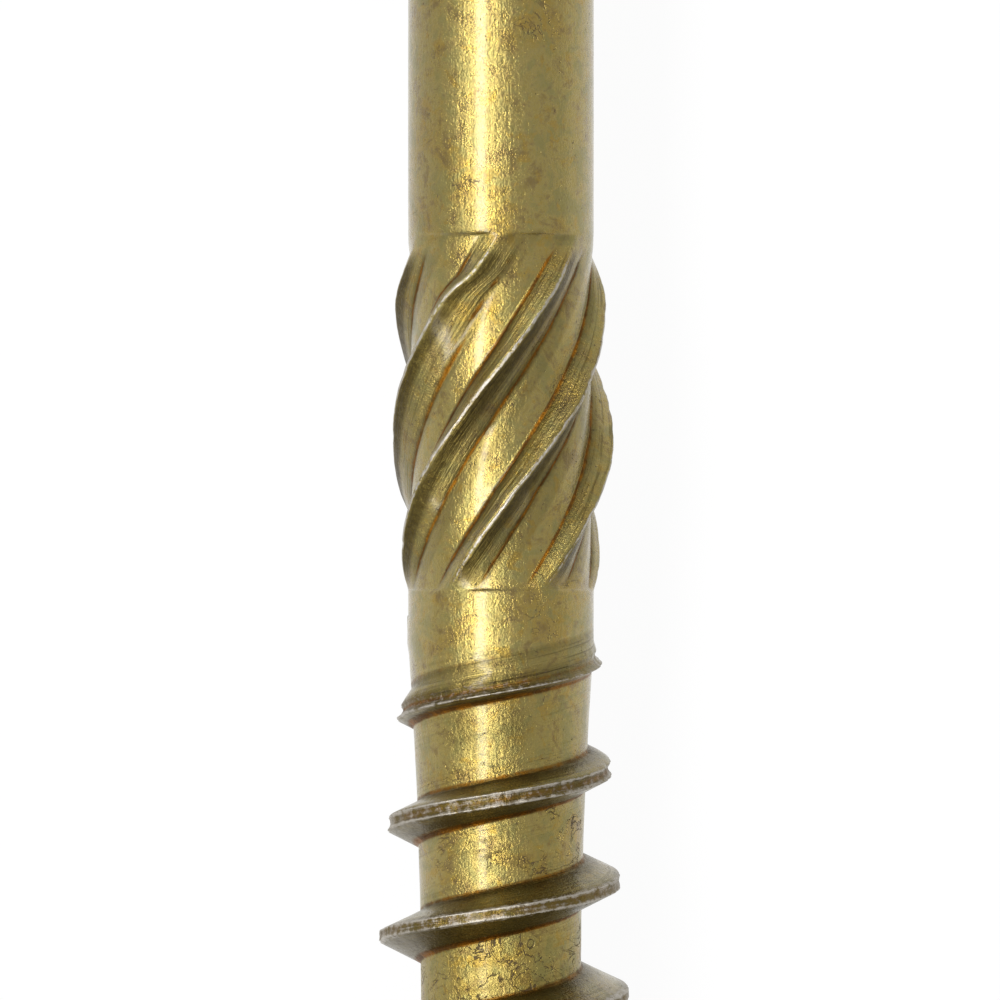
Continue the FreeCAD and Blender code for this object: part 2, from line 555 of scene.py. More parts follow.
    def spot(self, column: Column, row: int) -> Spot:
        """Return a column's spot on one row of the reamer.

        Args:
            column: The column.
            row: The row, counted towards the tip.

        Returns:
            The spot, with its marks.
        """
        share = crowd(row / (self.rows - 1), self.row_crowding)
        height = self.start + (self.end - self.start) * share
        angle = self.angle(column, height)
        rib = column.number // len(self.places())
        crest, floor = self.crest(height, angle, rib), self.floor(height, angle)
        stand = (crest - floor) / (self.crest_radius - self.floor_radius)
        place = column.rib_place + self.wander(height, rib)
        tip_side = self.tip_reach(height, rib)
        radius = floor + (crest - floor) * self.shape(place, tip_side)
        radius -= self.scored(height, rib, place, tip_side) * stand

        seen = min(max(stand - 0.1, 0.0) * 3.0, 1.0)
        head_foot = hump(place, -self.head_side - 0.01, 0.1)
        # Painted shade: the rib's flank towards the tip is darkened from just past its crest, and
        # the feet of both flanks are darkened too.
        shade = max(
            ease(place, 0.04, 0.16) * (1.0 - 0.7 * ease(place, 0.5, 0.85)),
            hump(place, tip_side, 0.2),
            0.7 * hump(place, -self.head_side + 0.1, 0.16),
        )
        uneven = min(max(wave(angle * 0.09, height, 5.0) + 0.5, 0.1), 1.0)
        # A painted shadow along the foot of the ledge where the reamer starts, strongest on the
        # sides facing the camera and the floor, where the ribs don't stand.
        line = 0.6 * hump(height, self.start + self.ledge, 0.25) * uneven
        on_rib = 1.0 - ease(place, tip_side, tip_side + 0.15)
        on_rib *= ease(place, -self.head_side - 0.2, -self.head_side)
        return Spot(
            Zone.REAMER,
            row,
            angle,
            height,
            radius,
            worn=hump(place, 0.0, self.crest_wear) * seen,
            hollow=max(head_foot, 0.8 * hump(place, tip_side, 0.1)) * seen,
            shade_and_film=shade * seen + line * self.squareness(angle) * (1.0 - seen),
            rolled=on_rib * seen,
            along=height * self.line_along,
            across=place * self.line_across,
        )

    def spots(self, column: Column) -> Iterator[Spot]:
        """Yield a column's spots down the reamer."""
        for row in range(self.rows):
            yield self.spot(column, row)


@dataclass(frozen=True)
class Shank:
    """The plain shank between the head and the reamer."""

    reamer: Reamer
    start: float = 5.9
    radius: float = 2.9
    dent_depth: float = 0.006
    # Painted shade: a darker band down the shank's left side, on the half facing the camera.
    stain_and_shade: float = 0.24
    shade_band_place: float = -0.8
    shade_band_reach: float = 0.16
    rows: int = 30
    row_crowding: float = 1.7

    def spots(self, column: Column) -> Iterator[Spot]:
        """Yield a column's spots, closer together where they start to lean.

        Args:
            column: The column that the spots lie on.

        Returns:
            The spots, in order.
        """
        end = self.reamer.start - self.reamer.ledge
        for row in range(self.rows):
            share = row / (self.rows - 1)
            height = self.start + (end - self.start) * (1.0 - (1.0 - share) ** self.row_crowding)
            angle = self.reamer.angle(column, height)
            across, aside = around(angle)
            dent = self.dent_depth * wave(across * 0.9, aside * 0.9, height * 0.16)
            # Painted shade in a band down the shank's left side, only on the half facing the
            # camera.
            shaded = self.stain_and_shade * hump(aside, self.shade_band_place, self.shade_band_reach)
            shaded *= ease(-across, 0.0, 0.4)
            yield Spot(Zone.SHANK, row, angle, height, self.radius + dent, shade_and_film=shaded)


@dataclass(frozen=True)
class Thread:
    """The coarse single-start thread, from the neck down on to the point."""

    reamer: Reamer
    neck_radius: float = 2.9
    neck_end: float = 70.0
    top: float = 68.9
    crest_origin: float = 69.3125
    pitch: float = 3.5
    outer_radius: float = 4.0
    core_radius: float = 2.5
    taper_end: float = 80.9
    taper_bend: float = 310.0
    runout_start: float = 67.45
    off_centre: float = 0.03
    runout_slope: float = 0.0823
    flank: float = 24.5
    crest_half: float = 0.135
    young_crest_half: float = 0.2
    root_fillet: float = 0.14
    valley_depth: float = 0.13
    bank_slope: float = 0.5
    rag_depth: float = 0.1
    chip_depth: float = 0.07
    crease_depth: float = 0.035
    # Where the two streaks of painted dark reflection lie, as sines of their angles, with their
    # widths.
    streaks: tuple[Span, ...] = ((-0.43, 0.14), (0.14, 0.2))
    streak_height: float = 72.3
    streak_reach: float = 0.8
    line_along: float = 20.0
    point_start: float = 111.3125
    length: float = 120.0
    tip_radius: float = 0.25
    tip_rounding: float = 0.12
    tip_crest_radius: float = 0.6
    last_turn: float = 13.45
    bottom: float = 119.7

    def core(self, height: float) -> float:
        """Return the radius of the core that the thread stands on.

        Args:
            height: The height along the screw.

        Returns:
            The radius, in millimetres.
        """
        if height <= self.neck_end:
            return self.neck_radius
        if height < self.taper_end:
            return self.core_radius + (self.taper_end - height) ** 2 / self.taper_bend
        slope = (self.core_radius - self.tip_radius) / (self.length - self.point_start)
        cone = self.core_radius - (height - self.point_start) * slope
        return soft_min(self.core_radius, cone, 0.1)

    def limit(self, height: float) -> float:
        """Return the radius that the crest reaches.

        Args:
            height: The height along the screw.

        Returns:
            The radius, in millimetres.
        """
        runout = self.neck_radius + self.runout_slope * (height - self.runout_start)
        slope = (self.outer_radius - self.tip_crest_radius) / (self.length - self.point_start)
        point = self.outer_radius - (height - self.point_start) * slope
        return min(soft_min(runout, self.outer_radius, 0.05), point)

    def fullness(self, height: float) -> float:
        """Return how full the crest is: 0 at the run-out's start, 1 once it is whole."""
        reach = self.outer_radius - self.neck_radius
        return min(max((self.limit(height) - self.neck_radius) / reach, 0.0), 1.0)

    def ridge(self, height: float) -> float:
        """Return half the crest's width; a young crest is two ridges further apart."""
        spread = self.young_crest_half - self.crest_half
        return self.crest_half + spread * (1.0 - ease(self.fullness(height), 0.5, 1.0))

    def youth(self, height: float) -> float:
        """Return how far a turn still is from one clean crest, from 1 down to 0."""
        return 1.0 - ease(self.fullness(height), 0.28, 0.95)

    def bank(self, height: float) -> float:
        """Return the width of the gentle bank above a young turn's upper ridge."""
        return 0.1 * self.youth(height) + 0.42 * (1.0 - ease(self.fullness(height), 0.24, 0.5))

    def lean(self, height: float) -> float:
        """Return how far a young turn's upper ridge lies below its lower one."""
        return 0.16 * (1.0 - ease(self.fullness(height), 0.24, 0.46))

    def foot(self, height: float, side: int) -> float:
        """Return how far a flank's foot lies from the crest's middle.

        Args:
            height: The crest's height along the screw.
            side: 1 for the flank towards the tip, -1 for the one towards the head.

        Returns:
            The distance, in millimetres.
        """
        stand = self.limit(height) - self.core(height)
        bank = 0.0
        if side < 0:
            bank = self.bank(height)
            stand -= self.lean(height) + bank * self.bank_slope
        run = min(max(stand * math.tan(math.radians(self.flank)), 0.2), 0.95)
        return self.ridge(height) + bank + run

    def side_places(self, height: float, side: int) -> list[float]:
        """Return how far a turn's rows lie from its crest's middle, on one side.

        Args:
            height: The crest's height along the screw.
            side: 1 for the side towards the tip, -1 for the one towards the head.

        Returns:
            The distances, from the crest outwards.
        """
        ridge = self.ridge(height)
        start = ridge + (self.bank(height) if side < 0 else 0.0)
        foot = self.foot(height, side)
        slope = foot - 0.1 - start
        rest = self.pitch / 2 - foot - 0.12
        places = [ridge * 0.5, ridge - 0.03, ridge, (ridge + start) / 2 + 0.02]
        places += [start + slope * 0.3, start + slope * 0.65]
        places += [foot + past for past in (-0.1, -0.03, 0.04, 0.12)]
        return places + [foot + 0.12 + rest * step / 3 for step in (1, 2)]

    def turn_places(self, height: float) -> list[float]:
        """Return the places of all of a turn's rows, from the turn before to the next."""
        above = [-place for place in reversed(self.side_places(height, -1))]
        return [-self.pitch / 2] + above + [0.0] + self.side_places(height, 1)

    @property
    def rows_per_turn(self) -> int:
        """The number of rows in each turn."""
        return len(self.turn_places(self.neck_end))

    def top_drop(self, place: float, height: float) -> float:
        """Return how far a turn's outline lies below its highest ridge.

        Args:
            place: Distance from the crest's middle, positive towards the tip.
            height: The crest's height along the screw.

        Returns:
            The drop, in millimetres.
        """
        ridge, lean = self.ridge(height), self.lean(height)
        slope = 1.0 / math.tan(math.radians(self.flank))
        if abs(place) <= ridge:
            valley = 1.0 - (place / ridge) ** 2
            drop = self.valley_depth * self.youth(height) * valley
            return drop + lean * (ridge - place) / (2 * ridge)
        if place > 0:
            return (place - ridge) * slope
        reach = -place - ridge
        bank = self.bank(height)
        return lean + self.bank_slope * min(reach, bank) + slope * max(reach - bank, 0.0)

    def presence(self, travelled: float) -> float:
        """Return how much of the thread there is: all of it, except near its two ends."""
        ending = ease(travelled, self.last_turn - 0.5, self.last_turn)
        return ease(travelled, -0.1, 0.25) * (1.0 - ending)

    def chips(self, across: float, aside: float, height: float) -> float:
        """Return how deep the crest is chipped at a place round the screw.

        Args:
            across: The cosine of the place's angle.
            aside: The sine of the place's angle.
            height: The height along the screw.

        Returns:
            The depth, in millimetres.
        """
        ragged = wave(across * 9.0, aside * 9.0, height * 1.6)
        chipped = wave(across * 17.0, aside * 17.0, height * 2.0)
        depth = self.rag_depth * max(ragged - 0.1, 0.0)
        return depth + self.chip_depth * max(chipped - 0.1, 0.0)

    def streak(self, aside: float, height: float) -> float:
        """Return how strong the two streaks of painted dark reflection are, beside the highlight
        below the first turn.
        """
        beside = max(hump(aside, place, reach) for place, reach in self.streaks)
        return beside * hump(height, self.streak_height, self.streak_reach)

    def spot(self, column: Column, turn: int, row: int) -> Spot:
        """Return a column's spot on one row of one turn.

        Args:
            column: The column.
            turn: The turn's number.
            row: The row on that turn.

        Returns:
            The spot, with its marks.
        """
        travelled = column.thread_angle / FULL_TURN + turn
        crest = self.crest_origin + self.pitch * travelled
        place = self.turn_places(crest)[row]
        aloof = abs(place)
        height = crest + place
        core = self.core(height)
        there = self.presence(travelled)
        across, aside = around(column.thread_angle)
        facing = ease(-across, 0.2, 0.7)
        ridge = self.ridge(crest)
        foot = self.foot(crest, 1 if place > 0 else -1)
        fullness = self.fullness(crest)
        tall = min(max(self.limit(height) - core, 0.0) * 2.2, 1.0) * there
        on_crest = 1.0 - ease(aloof, ridge + 0.02, ridge + 0.1)
        on_core = ease(aloof, foot, foot + 0.1) if tall > 0 else 1.0

        limit = self.limit(height) + self.off_centre * aside * (1.0 - ease(height, 78.0, 84.0))
        stand = max(limit - self.top_drop(place, crest) - core, -0.4) * there
        radius = soft_max(core + stand, core, self.root_fillet)
        radius -= self.chips(across, aside, height) * on_crest * tall
        radius += 0.012 * wave(across * 1.7, aside * 1.7, height * 0.8)
        crease = hump(place, -foot - 0.03, 0.06) * (1.0 - ease(fullness, 0.26, 0.36))
        radius -= self.crease_depth * crease * facing

        gathered = hump(aloof, foot + 0.02, 0.1)
        edge = hump(aloof, ridge, 0.05)
        # Painted shade on the thread's flanks: the flank towards the tip is darkened all over, the
        # one towards the head more towards its root.
        flank = ease(aloof, ridge + 0.02, ridge + 0.12) * (1.0 - on_core)
        if place > 0:
            gathered *= 0.9
            flank *= 0.85
        else:
            gathered *= 0.6
            edge *= 0.25 + 0.75 * ease(fullness, 0.3, 0.42)
            flank *= 0.3 + 0.6 * ease(aloof, foot - 0.35, foot - 0.05)
        valley = 0.7 * hump(place, 0.0, 0.12) * self.youth(crest)
        flaky = 0.45 * ease(height, 71.0, 72.5) + 0.55 * ease(height, 77.0, 79.5)
        lined = max(1.0 - on_core, 0.35 * ease(height, 69.8, 70.1))
        return Spot(
            Zone.THREAD,
            turn * self.rows_per_turn + row,
            column.thread_angle,
            height,
            radius,
            worn=max(0.5 * on_crest, edge) * tall,
            hollow=max(gathered, valley, 0.36 * on_crest) * tall,
            shade_and_film=max(
                flank * tall,
                # The crest's brown film, its own colour.
                0.85 * on_crest * tall,
                # Painted dark reflection in two streaks beside the highlight, on the side facing
                # the camera.
                0.5 * self.streak(aside, height) * on_core * facing,
            ),
            torn=flaky * on_core,
            rolled=lined * (1.0 - ease(aloof, 1.2, 1.65)),
            along=travelled * self.line_along,
            across=place,
        )

    def neck_spots(self, column: Column) -> Iterator[Spot]:
        """Yield a column's spots on the neck, where it turns from the ribs' lean.

        Args:
            column: The column that the spots lie on.

        Returns:
            The spots, in order.
        """
        end = self.reamer.end
        leaning = self.reamer.angle(column, end)
        heights = (0.08, 0.2, 0.4, 0.6)
        for row, down in enumerate(heights):
            share = ease(down / (self.top - end), 0.0, 1.0)
            angle = leaning + (column.thread_angle - leaning) * share
            yield Spot(Zone.NECK, row, angle, end + down, self.neck_radius)
        yield Spot(Zone.NECK, len(heights), column.thread_angle, self.top, self.neck_radius)

    def spots(self, column: Column) -> Iterator[Spot]:
        """Yield a column's spots down all the turns that it crosses.

        Args:
            column: The column that the spots lie on.

        Returns:
            The spots, in order.
        """
        travelled = column.thread_angle / FULL_TURN
        first = math.floor((self.top - self.crest_origin) / self.pitch - travelled) - 1
        last = math.ceil((self.bottom - self.crest_origin) / self.pitch - travelled) + 1
        for turn in range(first, last + 1):
            for row in range(self.rows_per_turn):
                spot = self.spot(column, turn, row)
                if self.top + 0.04 < spot.height < self.bottom - 0.04:
                    yield spot

    def tip_spots(self, column: Column) -> Iterator[Spot]:
        """Yield a column's spots round the blunt tip.

        Args:
            column: The column that the spots lie on.

        Returns:
            The spots, in order.
        """
        rounding = self.tip_rounding
        yield Spot(Zone.TIP, 0, column.thread_angle, self.bottom, self.core(self.bottom))
        for row, turned in enumerate((20.0, 45.0, 70.0, 90.0), start=1):
            out, down = around(turned)
            radius = self.tip_radius - rounding * (1.0 - out)
            height = self.length - rounding * (1.0 - down)
            yield Spot(Zone.TIP, row, column.thread_angle, height, radius, 0.4)


# ---- The skin ----


Line = list[tuple[tuple[int, int], int]]


class ScrewSkin:
    """The whole screw as one closed skin.

    It is made in mesh code, since the operators that model by hand have no way to
    wind rows of faces along a thread that grows out of a plain neck, or to lean
    them with the ribs. Columns of spots run from the socket's floor to the tip.
    On the thread the rows wind with it, so that each turn's crest, flanks and
    roots are edges of the mesh.
    """

    def __init__(self, rest: Rest) -> None:
        """Set up the screw's sections.

        Args:
            rest: How the screw lies.
        """
        self.rest = rest
        self.socket = Socket()
        self.head = Head(self.socket)
        self.reamer = Reamer()
        self.shank = Shank(self.reamer)
        self.thread = Thread(self.reamer)
        self.points: list[Vector] = []
        self.marks: dict[str, list[float]] = {name: [] for name in MARKS + LINES}
        self.faces: list[tuple[int, ...]] = []

    def add_point(self, spot: Spot) -> int:
        """Keep a spot as a point of the mesh.

        Args:
            spot: The spot.

        Returns:
            The point's number.
        """
        self.points.append(self.rest.place(spot.angle, spot.height, spot.radius))
        for name, values in self.marks.items():
            values.append(getattr(spot, name))
        return len(self.points) - 1

    def line(self, column: Column) -> Line:
        """Make a column's points.

        Args:
            column: The column.

        Returns:
            The points' numbers in order, each with its zone and row.
        """
        found: Line = []
        for spots in (
            self.socket.spots,
            self.head.spots,
            self.shank.spots,
            self.reamer.spots,
            self.thread.neck_spots,
            self.thread.spots,
            self.thread.tip_spots,
        ):
            for spot in spots(column):
                found.append(((int(spot.zone), spot.row), self.add_point(spot)))
        return found

    def join(self, left: Line, right: Line) -> None:
        """Fill the gap between two neighbouring lines.

        Points of the same rank get a quad between them. Where a row has ended on
        one side only, at the thread's two ends, the gap gets a triangle.

        Args:
            left: The line at the smaller angle.
            right: The line at the greater angle.
        """
        i = j = 0
        while i < len(left) - 1 or j < len(right) - 1:
            left_rank = left[i + 1][0] if i < len(left) - 1 else None
            right_rank = right[j + 1][0] if j < len(right) - 1 else None
            corners = [left[i][1], right[j][1]]
            if left_rank == right_rank:
                corners += [right[j + 1][1], left[i + 1][1]]
                i, j = i + 1, j + 1
            elif right_rank is None or (left_rank is not None and left_rank < right_rank):
                corners.append(left[i + 1][1])
                i += 1
            else:
                corners.append(right[j + 1][1])
                j += 1
            self.faces.append(tuple(corners))

    def past_full_turn(self, line: Line) -> Line:
        """Count the rows of a line's thread one turn on.

        Args:
            line: The line.

        Returns:
            The line with its new rows.
        """
        step = self.thread.rows_per_turn
        return [
            ((zone, row - step if zone == Zone.THREAD else row), point)
            for (zone, row), point in line
        ]

    def build(self) -> bpy.types.Object:
        """Make the skin's mesh, with its marks of wear, of film and of painted shade.

        Returns:
            The skin's object.
        """
        lines = [self.line(column) for column in self.reamer.columns()]
        for left, right in zip(lines, lines[1:]):
            self.join(left, right)
        self.join(lines[-1], self.past_full_turn(lines[0]))
        floor = self.add_point(Spot(Zone.SOCKET, -1, 0.0, self.socket.depth, 0.0, 0.0, 0.4))
        tip = self.add_point(Spot(Zone.TIP, 99, 0.0, self.thread.length, 0.0, 0.4))
        for left, right in zip(lines, lines[1:] + lines[:1]):
            self.faces.append((floor, right[0][1], left[0][1]))
            self.faces.append((left[-1][1], right[-1][1], tip))
        mesh = bpy.data.meshes.new("plated_screw")
        mesh.from_pydata([tuple(point) for point in self.points], [], self.faces)
        for name, values in self.marks.items():
            layer = mesh.attributes.new(name=name, type="FLOAT", domain="POINT")
            layer.data.foreach_set("value", values)
        mesh.update()
        piece = bpy.data.objects.new("plated_screw", mesh)
        bpy.context.collection.objects.link(piece)
        deselect_all()
        piece.select_set(True)
        bpy.context.view_layer.objects.active = piece
        bpy.ops.object.shade_smooth()
        piece.select_set(False)
        return piece


# ---- Finishes ----


class Reading:
    """A number that varies over a surface, read from a node's socket.

    Plain maths on it adds Math nodes, so a finish is written as a formula.
    """

    def __init__(self, graph: "Graph", socket: Outlet) -> None:
        """Keep the graph and the socket that the number comes from."""
        self.graph = graph
        self.socket = socket

    def _maths(self, operation: str, *terms: object) -> "Reading":
        """Add a Math node.

        Args:
            operation: The node's operation.
            terms: Its terms, numbers or readings.

        Returns:
            The node's result.
        """
        sockets = dict(enumerate(terms))
        node = self.graph.node("Math", sockets, {"operation": operation})
        return Reading(self.graph, node.outputs[0])

    def __add__(self, other: object) -> "Reading":
        """Add."""
        return self._maths("ADD", self, other)

    def __radd__(self, other: object) -> "Reading":
        """Add to a plain number."""
        return self._maths("ADD", other, self)

    def __sub__(self, other: object) -> "Reading":
        """Subtract."""
        return self._maths("SUBTRACT", self, other)

    def __rsub__(self, other: object) -> "Reading":
        """Subtract from a plain number."""
        return self._maths("SUBTRACT", other, self)

    def __mul__(self, other: object) -> "Reading":
        """Multiply."""
        return self._maths("MULTIPLY", self, other)

    def __rmul__(self, other: object) -> "Reading":
        """Multiply a plain number."""
        return self._maths("MULTIPLY", other, self)

    def above(self, low: float, high: float) -> "Reading":
        """Add a smooth step.

        Args:
            low: Where it starts, at 0.
            high: Where it ends, at 1.

        Returns:
            The step's height.
        """
        sockets = {"Value": self, "From Min": low, "From Max": high}
        node = self.graph.node("MapRange", sockets, {"interpolation_type": "SMOOTHSTEP"})
        return Reading(self.graph, node.outputs[0])

    def size(self) -> "Reading":
        """Return the number without its sign."""
        return self._maths("ABSOLUTE", self)

    def at_most(self, high: object) -> "Reading":
        """Return the smaller of the two."""
        return self._maths("MINIMUM", self, high)

    def at_least(self, low: object) -> "Reading":
        """Return the greater of the two."""
        return self._maths("MAXIMUM", self, low)


class Graph:
    """The nodes of one material or of the world."""

    def __init__(self, owner: bpy.types.Material | bpy.types.World) -> None:
        """Give the owner an empty node tree and keep it.

        Args:
            owner: The material or the world.
        """
        owner.use_nodes = True
        self.tree = owner.node_tree
        self.tree.nodes.clear()

    def node(
        self,
        kind: str,
        sockets: dict[str | int, object] | None = None,
        settings: dict[str, object] | None = None,
    ) -> bpy.types.Node:
        """Add a node, set it up and feed its sockets.

        Args:
            kind: The node's type, without the ShaderNode that it starts with.
            sockets: A value, a Reading or a socket for each of its inputs.
            settings: Its own settings, such as a Math node's operation, set first.

        Returns:
            The node.
        """
        node = self.tree.nodes.new("ShaderNode" + kind)
        for name, value in (settings or {}).items():
            setattr(node, name, value)
        for name, value in (sockets or {}).items():
            if isinstance(value, Reading):
                value = value.socket
            if isinstance(value, Outlet):
                self.tree.links.new(value, node.inputs[name])
            else:
                node.inputs[name].default_value = value
        return node

    def mix(self, share: object, first: object, second: object) -> Outlet:
        """Mix two colours.

        Args:
            share: The second colour's share.
            first: The first colour.
            second: The second colour.

        Returns:
            The mixed colour.
        """
        colours = [(*c, 1.0) if isinstance(c, tuple) else c for c in (first, second)]
        sockets = {0: share, 6: colours[0], 7: colours[1]}
        return self.node("Mix", sockets, {"data_type": "RGBA"}).outputs[2]

    def attribute(self, name: str) -> Reading:
        """Read one of the mesh's own marks."""
        node = self.node("Attribute", settings={"attribute_name": name})
        return Reading(self, node.outputs["Fac"])

    def drawn(self, along: float, across: float) -> Outlet:
        """Return coordinates that run along the ribs and the thread.

        Args:
            along: Their scale along a rib or a turn.
            across: Their scale across it.

        Returns:
            The coordinates.
        """
        place = [self.attribute(name) for name in LINES]
        sockets = {"X": place[0] * along, "Y": place[1] * across}
        return self.node("CombineXYZ", sockets).outputs[0]

    def stretched(self, pace: float = PER_METRE, turn: float = 0.0) -> Outlet:
        """Return the object's coordinates, in millimetres.

        Args:
            pace: Their scale along x.
            turn: Their turn about y, in radians.

        Returns:
            The coordinates.
        """
        place = self.node("TexCoord").outputs["Object"]
        scale = (pace, PER_METRE, PER_METRE)
        sockets = {"Vector": place, "Scale": scale, "Rotation": (0.0, turn, 0.0)}
        return self.node("Mapping", sockets).outputs[0]

    def grain(
        self, place: Outlet, scale: float, detail: float, roughness: float, distortion: float = 0.0
    ) -> Reading:
        """Add a noise texture.

        Args:
            place: The coordinates to read it at.
            scale: How fine it is.
            detail: How many finer layers it has.
            roughness: How strong those layers are.
            distortion: How far it is bent.

        Returns:
            Its strength, from about 0.25 to 0.75.
        """
        names = ("Vector", "Scale", "Detail", "Roughness", "Distortion")
        sockets = dict(zip(names, (place, scale, detail, roughness, distortion)))
        return Reading(self, self.node("TexNoise", sockets).outputs[0])


@dataclass(frozen=True)
class YellowPlating:
    """Zinc plating with a yellow film over it, as it looks after rolling and handling, and with
    painted shade from the mesh's marks.
    """

    gold: Colour = (0.335, 0.26, 0.074)
    amber: Colour = (0.34, 0.228, 0.04)
    green: Colour = (0.24, 0.213, 0.068)
    brown: Colour = (0.19, 0.125, 0.04)
    rust: Colour = (0.22, 0.09, 0.008)
    # Dark brown for painted shade on flanks, at the ledge, on the shank's side and beside the
    # first turn, for the crests' brown film and for the dies' lines.
    tan: Colour = (0.07, 0.05, 0.011)
    bare: Colour = (0.45, 0.415, 0.355)
    umber: Colour = (0.11, 0.05, 0.01)
    soot: Colour = (0.07, 0.045, 0.022)
    roughness: float = 0.285
    coat: float = 0.88
    coat_roughness: float = 0.175
    coat_bend: float = 1.47
    relief: float = 0.8
    relief_height: float = 0.00009
    brushing_pace: float = 130.0
    tilt: float = math.radians(Rest.tilt)

    def material(self) -> bpy.types.Material:
        """Build the material.

        Returns:
            The material.
        """
        material = bpy.data.materials.new("yellow_plated_steel")
        graph = Graph(material)
        worn, hollow, shade_and_film, torn, rolled = (graph.attribute(name) for name in MARKS)
        even = graph.stretched()
        upright = graph.stretched(self.brushing_pace, self.tilt)

        clouds = graph.grain(even, 0.4, 3.0, 0.6, 0.6)
        mottle = graph.grain(even, 1.3, 5.0, 0.66, 0.5)
        flecks = graph.grain(even, 4.5, 4.0, 0.7)
        sparkle = graph.grain(even, 15.0, 2.0, 0.6)
        brushing = graph.grain(upright, 8.0, 2.0, 0.6)
        lines = graph.grain(graph.drawn(0.35, 11.0), 1.0, 3.0, 0.6)
        grooves = rolled * (1.0 - lines).above(0.5, 0.62)

        blooms = graph.grain(even, 1.9, 3.0, 0.55, 0.5)
        colour = graph.mix(clouds.above(0.5, 0.64) * 0.6, self.gold, self.amber)
        colour = graph.mix(mottle.above(0.48, 0.62) * 0.7, colour, self.green)
        colour = graph.mix(blooms.above(0.56, 0.68) * 0.85, colour, self.amber)
        colour = graph.mix((1.0 - mottle).above(0.53, 0.66) * 0.7, colour, self.brown)
        colour = graph.mix(flecks.above(0.54, 0.68) * 0.55, colour, self.brown)

        # Painted shade, with the crests' brown film and the dies' lines, darkens the colour
        # towards the dark brown; the coat thins and the roughness rises there too.
        dark = (shade_and_film * (0.6 + flecks * 0.7)).at_least(grooves * 0.55).at_most(1.0)
        colour = graph.mix(dark, colour, self.tan)
        # The rust-brown film gathered in the corners, which is the screw's own colour.
        stain_and_shade = (hollow * (0.35 + flecks * 1.3)).above(0.2, 0.8)
        film = graph.mix(mottle.above(0.44, 0.58), self.rust, self.umber)
        colour = graph.mix(stain_and_shade, colour, film)
        rubbed = (worn * (lines * 1.4 + flecks * 2.6 - 1.05)).above(0.4, 0.9)
        colour = graph.mix(rubbed, colour, self.bare)
        scars = self.pits(graph, even).at_least(self.cracks(graph, even, clouds, torn))
        colour = graph.mix(scars * 0.85, colour, self.soot)

        rough = self.roughness + (mottle - 0.5) * 0.4 + (flecks - 0.5) * 0.3
        rough = rough + stain_and_shade * 0.1 + dark * 0.12 + rubbed * 0.12 + scars * 0.3 + torn * 0.05
        rough = rough.at_most(0.85).at_least(0.16)

        glaze = (flecks * 2.0 + sparkle * 1.6 - 0.95).at_most(1.0).at_least(0.15) * self.coat
        glaze = glaze * (1.0 - torn * 0.7 - scars - stain_and_shade * 0.6 - dark * 0.8).at_least(0.0)

        height = mottle * 0.32 + flecks * 0.24 + sparkle * 0.3 + brushing * 0.18
        height = height + torn * flecks * 0.6 + rolled * lines * 0.8 - scars * 0.4
        sockets = {"Strength": self.relief, "Distance": self.relief_height, "Height": height}
        bump = graph.node("Bump", sockets)
        sockets = {
            "Base Color": colour,
            "Metallic": 1.0 - scars * 0.5,
            "Roughness": rough,
            "Coat Weight": glaze,
            "Coat Roughness": self.coat_roughness,
            "Coat IOR": self.coat_bend,
            "Normal": bump.outputs[0],
        }
        shader = graph.node("BsdfPrincipled", sockets)
        graph.node("OutputMaterial", {0: shader.outputs[0]})
        return material

    def pits(self, graph: Graph, place: Outlet) -> Reading:
        """Return a mask of small dark nicks, a few in each patch."""
        return graph.grain(place, 7.0, 1.0, 0.5, 0.4).above(0.74, 0.78) * 0.8

    def cracks(self, graph: Graph, place: Outlet, clouds: Reading, torn: Reading) -> Reading:
        """Return a mask of thin meandering cracks, most where the steel is torn.

        Args:
            graph: The material's nodes.
            place: The coordinates to read the noise at.
            clouds: The broad noise that the cracks gather in.
            torn: How flaky the steel is.

        Returns:
            The mask, from 0 to 1.
        """
        line = (graph.grain(place, 1.0, 3.0, 0.6, 1.2) - 0.5).size()
        patch = (clouds + torn * 0.17).above(0.6, 0.7)
        return (1.0 - line.above(0.004, 0.015)) * patch


@dataclass(frozen=True)
class PaleFloor:
    """A plain pale floor that shows white to the camera and keeps a soft shadow."""

    colour: Colour = (0.8, 0.8, 0.8)
    whitening: float = 0.95

    def material(self) -> bpy.types.Material:
        """Build the material.

        Returns:
            The material.
        """
        material = bpy.data.materials.new("pale_floor")
        graph = Graph(material)
        matt = graph.node("BsdfDiffuse", {"Color": (*self.colour, 1.0)})
        white = graph.node("Emission", {"Color": WHITE, "Strength": 1.0})
        path = graph.node("LightPath")
        seen = Reading(graph, path.outputs["Is Camera Ray"])
        for name in ("Is Glossy Ray", "Is Transmission Ray"):
            seen = seen.at_least(Reading(graph, path.outputs[name]))
        sockets = {0: seen * self.whitening, 1: matt.outputs[0], 2: white.outputs[0]}
        blend = graph.node("MixShader", sockets)
        graph.node("OutputMaterial", {0: blend.outputs[0]})
        return material


# ---- The studio ----


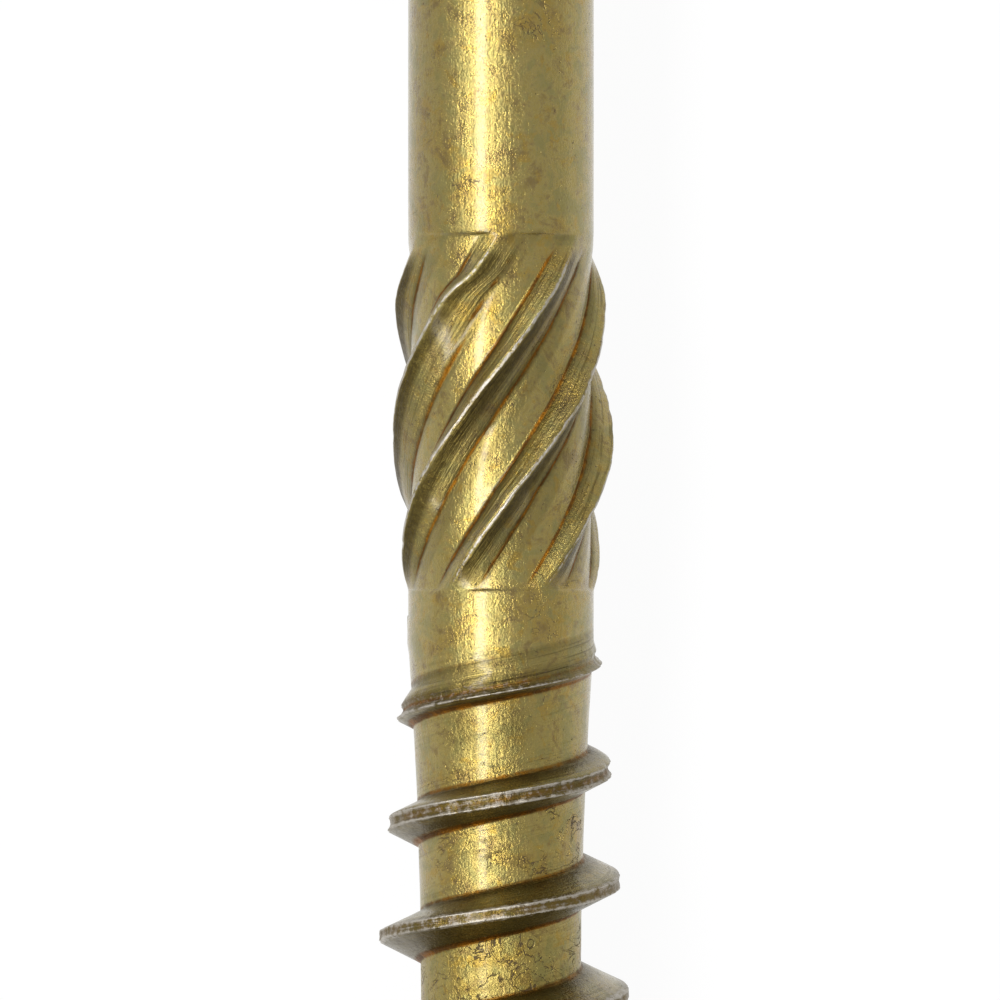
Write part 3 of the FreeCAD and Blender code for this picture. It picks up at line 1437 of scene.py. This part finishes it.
@dataclass(frozen=True)
class Studio:
    """The floor, the lamp, the world and the camera.

    The camera's sizes are in millimetres, the floor's and the lamp's in metres. The
    lamp turns from straight above to the picture's left, and strength 1 is white.
    """

    rest: Rest
    aim: float = 65.31
    frame_width: float = 31.25
    distance: float = 300.0
    aside: float = -0.03
    sensor: float = 36.0
    floor_size: float = 6.0
    lamp_turn: float = 24.5
    lamp_distance: float = 0.35
    lamp_length: float = 0.6
    lamp_width: float = 0.07
    lamp_strength: float = 12.5
    world_level: float = 0.7

    def add_floor(self) -> bpy.types.Object:
        """Lay the floor that the screw rests on.

        Returns:
            The floor.
        """
        deselect_all()
        bpy.ops.mesh.primitive_plane_add(size=self.floor_size, location=(0.0, 0.0, 0.0))
        floor = bpy.context.object
        floor.name = floor.data.name = "floor"
        floor.data.materials.append(PaleFloor().material())
        return floor

    def aim_point(self) -> Vector:
        """Return the point on the axis at the middle of the picture."""
        return self.rest.place(0.0, self.aim, 0.0)

    def add_lamp(self) -> None:
        """Hang a long soft lamp along the screw."""
        cosine, sine = around(self.lamp_turn)
        outward = self.rest.upward * cosine + Vector((0.0, -sine, 0.0))
        along = Vector((1.0, 0.0, 0.0))
        along = (along - outward * along.dot(outward)).normalized()
        sideways = outward.cross(along)
        place = self.aim_point() + outward * self.lamp_distance
        deselect_all()
        bpy.ops.object.light_add(type="AREA", location=place)
        lamp = bpy.context.object
        lamp.name = lamp.data.name = "strip_lamp"
        lamp.data.shape = "RECTANGLE"
        lamp.data.size, lamp.data.size_y = self.lamp_length, self.lamp_width
        lamp.data.energy = self.lamp_strength * math.pi * self.lamp_length * self.lamp_width
        lamp.rotation_euler = Matrix((along, sideways, outward)).transposed().to_euler()
        lamp.visible_camera = False

    def set_world(self) -> None:
        """Give the world its level, and white where the camera sees it."""
        world = bpy.data.worlds.new("studio")
        bpy.context.scene.world = world
        graph = Graph(world)
        seen = Reading(graph, graph.node("LightPath").outputs["Is Camera Ray"])
        strength = self.world_level + seen * (1.0 - self.world_level)
        sky = graph.node("Background", {"Color": WHITE, "Strength": strength})
        graph.node("OutputWorld", {0: sky.outputs[0]})

    def add_camera(self) -> None:
        """Put the camera straight above the middle of the screw, square to its axis."""
        back, up = self.rest.upward, self.rest.headward
        right = up.cross(back)
        place = self.aim_point() + back * self.distance * MILLIMETRE
        place += right * self.aside * MILLIMETRE
        deselect_all()
        bpy.ops.object.camera_add(location=place)
        camera = bpy.context.object
        camera.name = camera.data.name = "camera"
        camera.rotation_euler = Matrix((right, up, back)).transposed().to_euler()
        camera.data.sensor_width = self.sensor
        camera.data.lens = self.sensor * self.distance / self.frame_width
        camera.data.clip_start, camera.data.clip_end = 0.01, 20.0
        bpy.context.scene.camera = camera

    def build(self) -> bpy.types.Object:
        """Build the studio.

        Returns:
            The studio's floor.
        """
        floor = self.add_floor()
        self.add_lamp()
        self.set_world()
        self.add_camera()
        bpy.context.scene.view_settings.view_transform = "Standard"
        return floor


# ---- Putting it together ----


def main() -> None:
    """Build the screw and its studio, and report each piece."""
    logging.basicConfig(level=logging.INFO, format="%(name)s: %(message)s")
    rest = Rest()
    screw = ScrewSkin(rest).build()
    screw.data.materials.append(YellowPlating().material())
    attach(screw, "root")
    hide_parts("construction_screw")
    mesh = screw.data
    LOG.info("%s: %d points, %d faces", screw.name, len(mesh.vertices), len(mesh.polygons))
    floor = Studio(rest).build()
    LOG.info("%s: %.1f m across", floor.name, floor.dimensions.x)


if __name__ == "__main__":
    main()
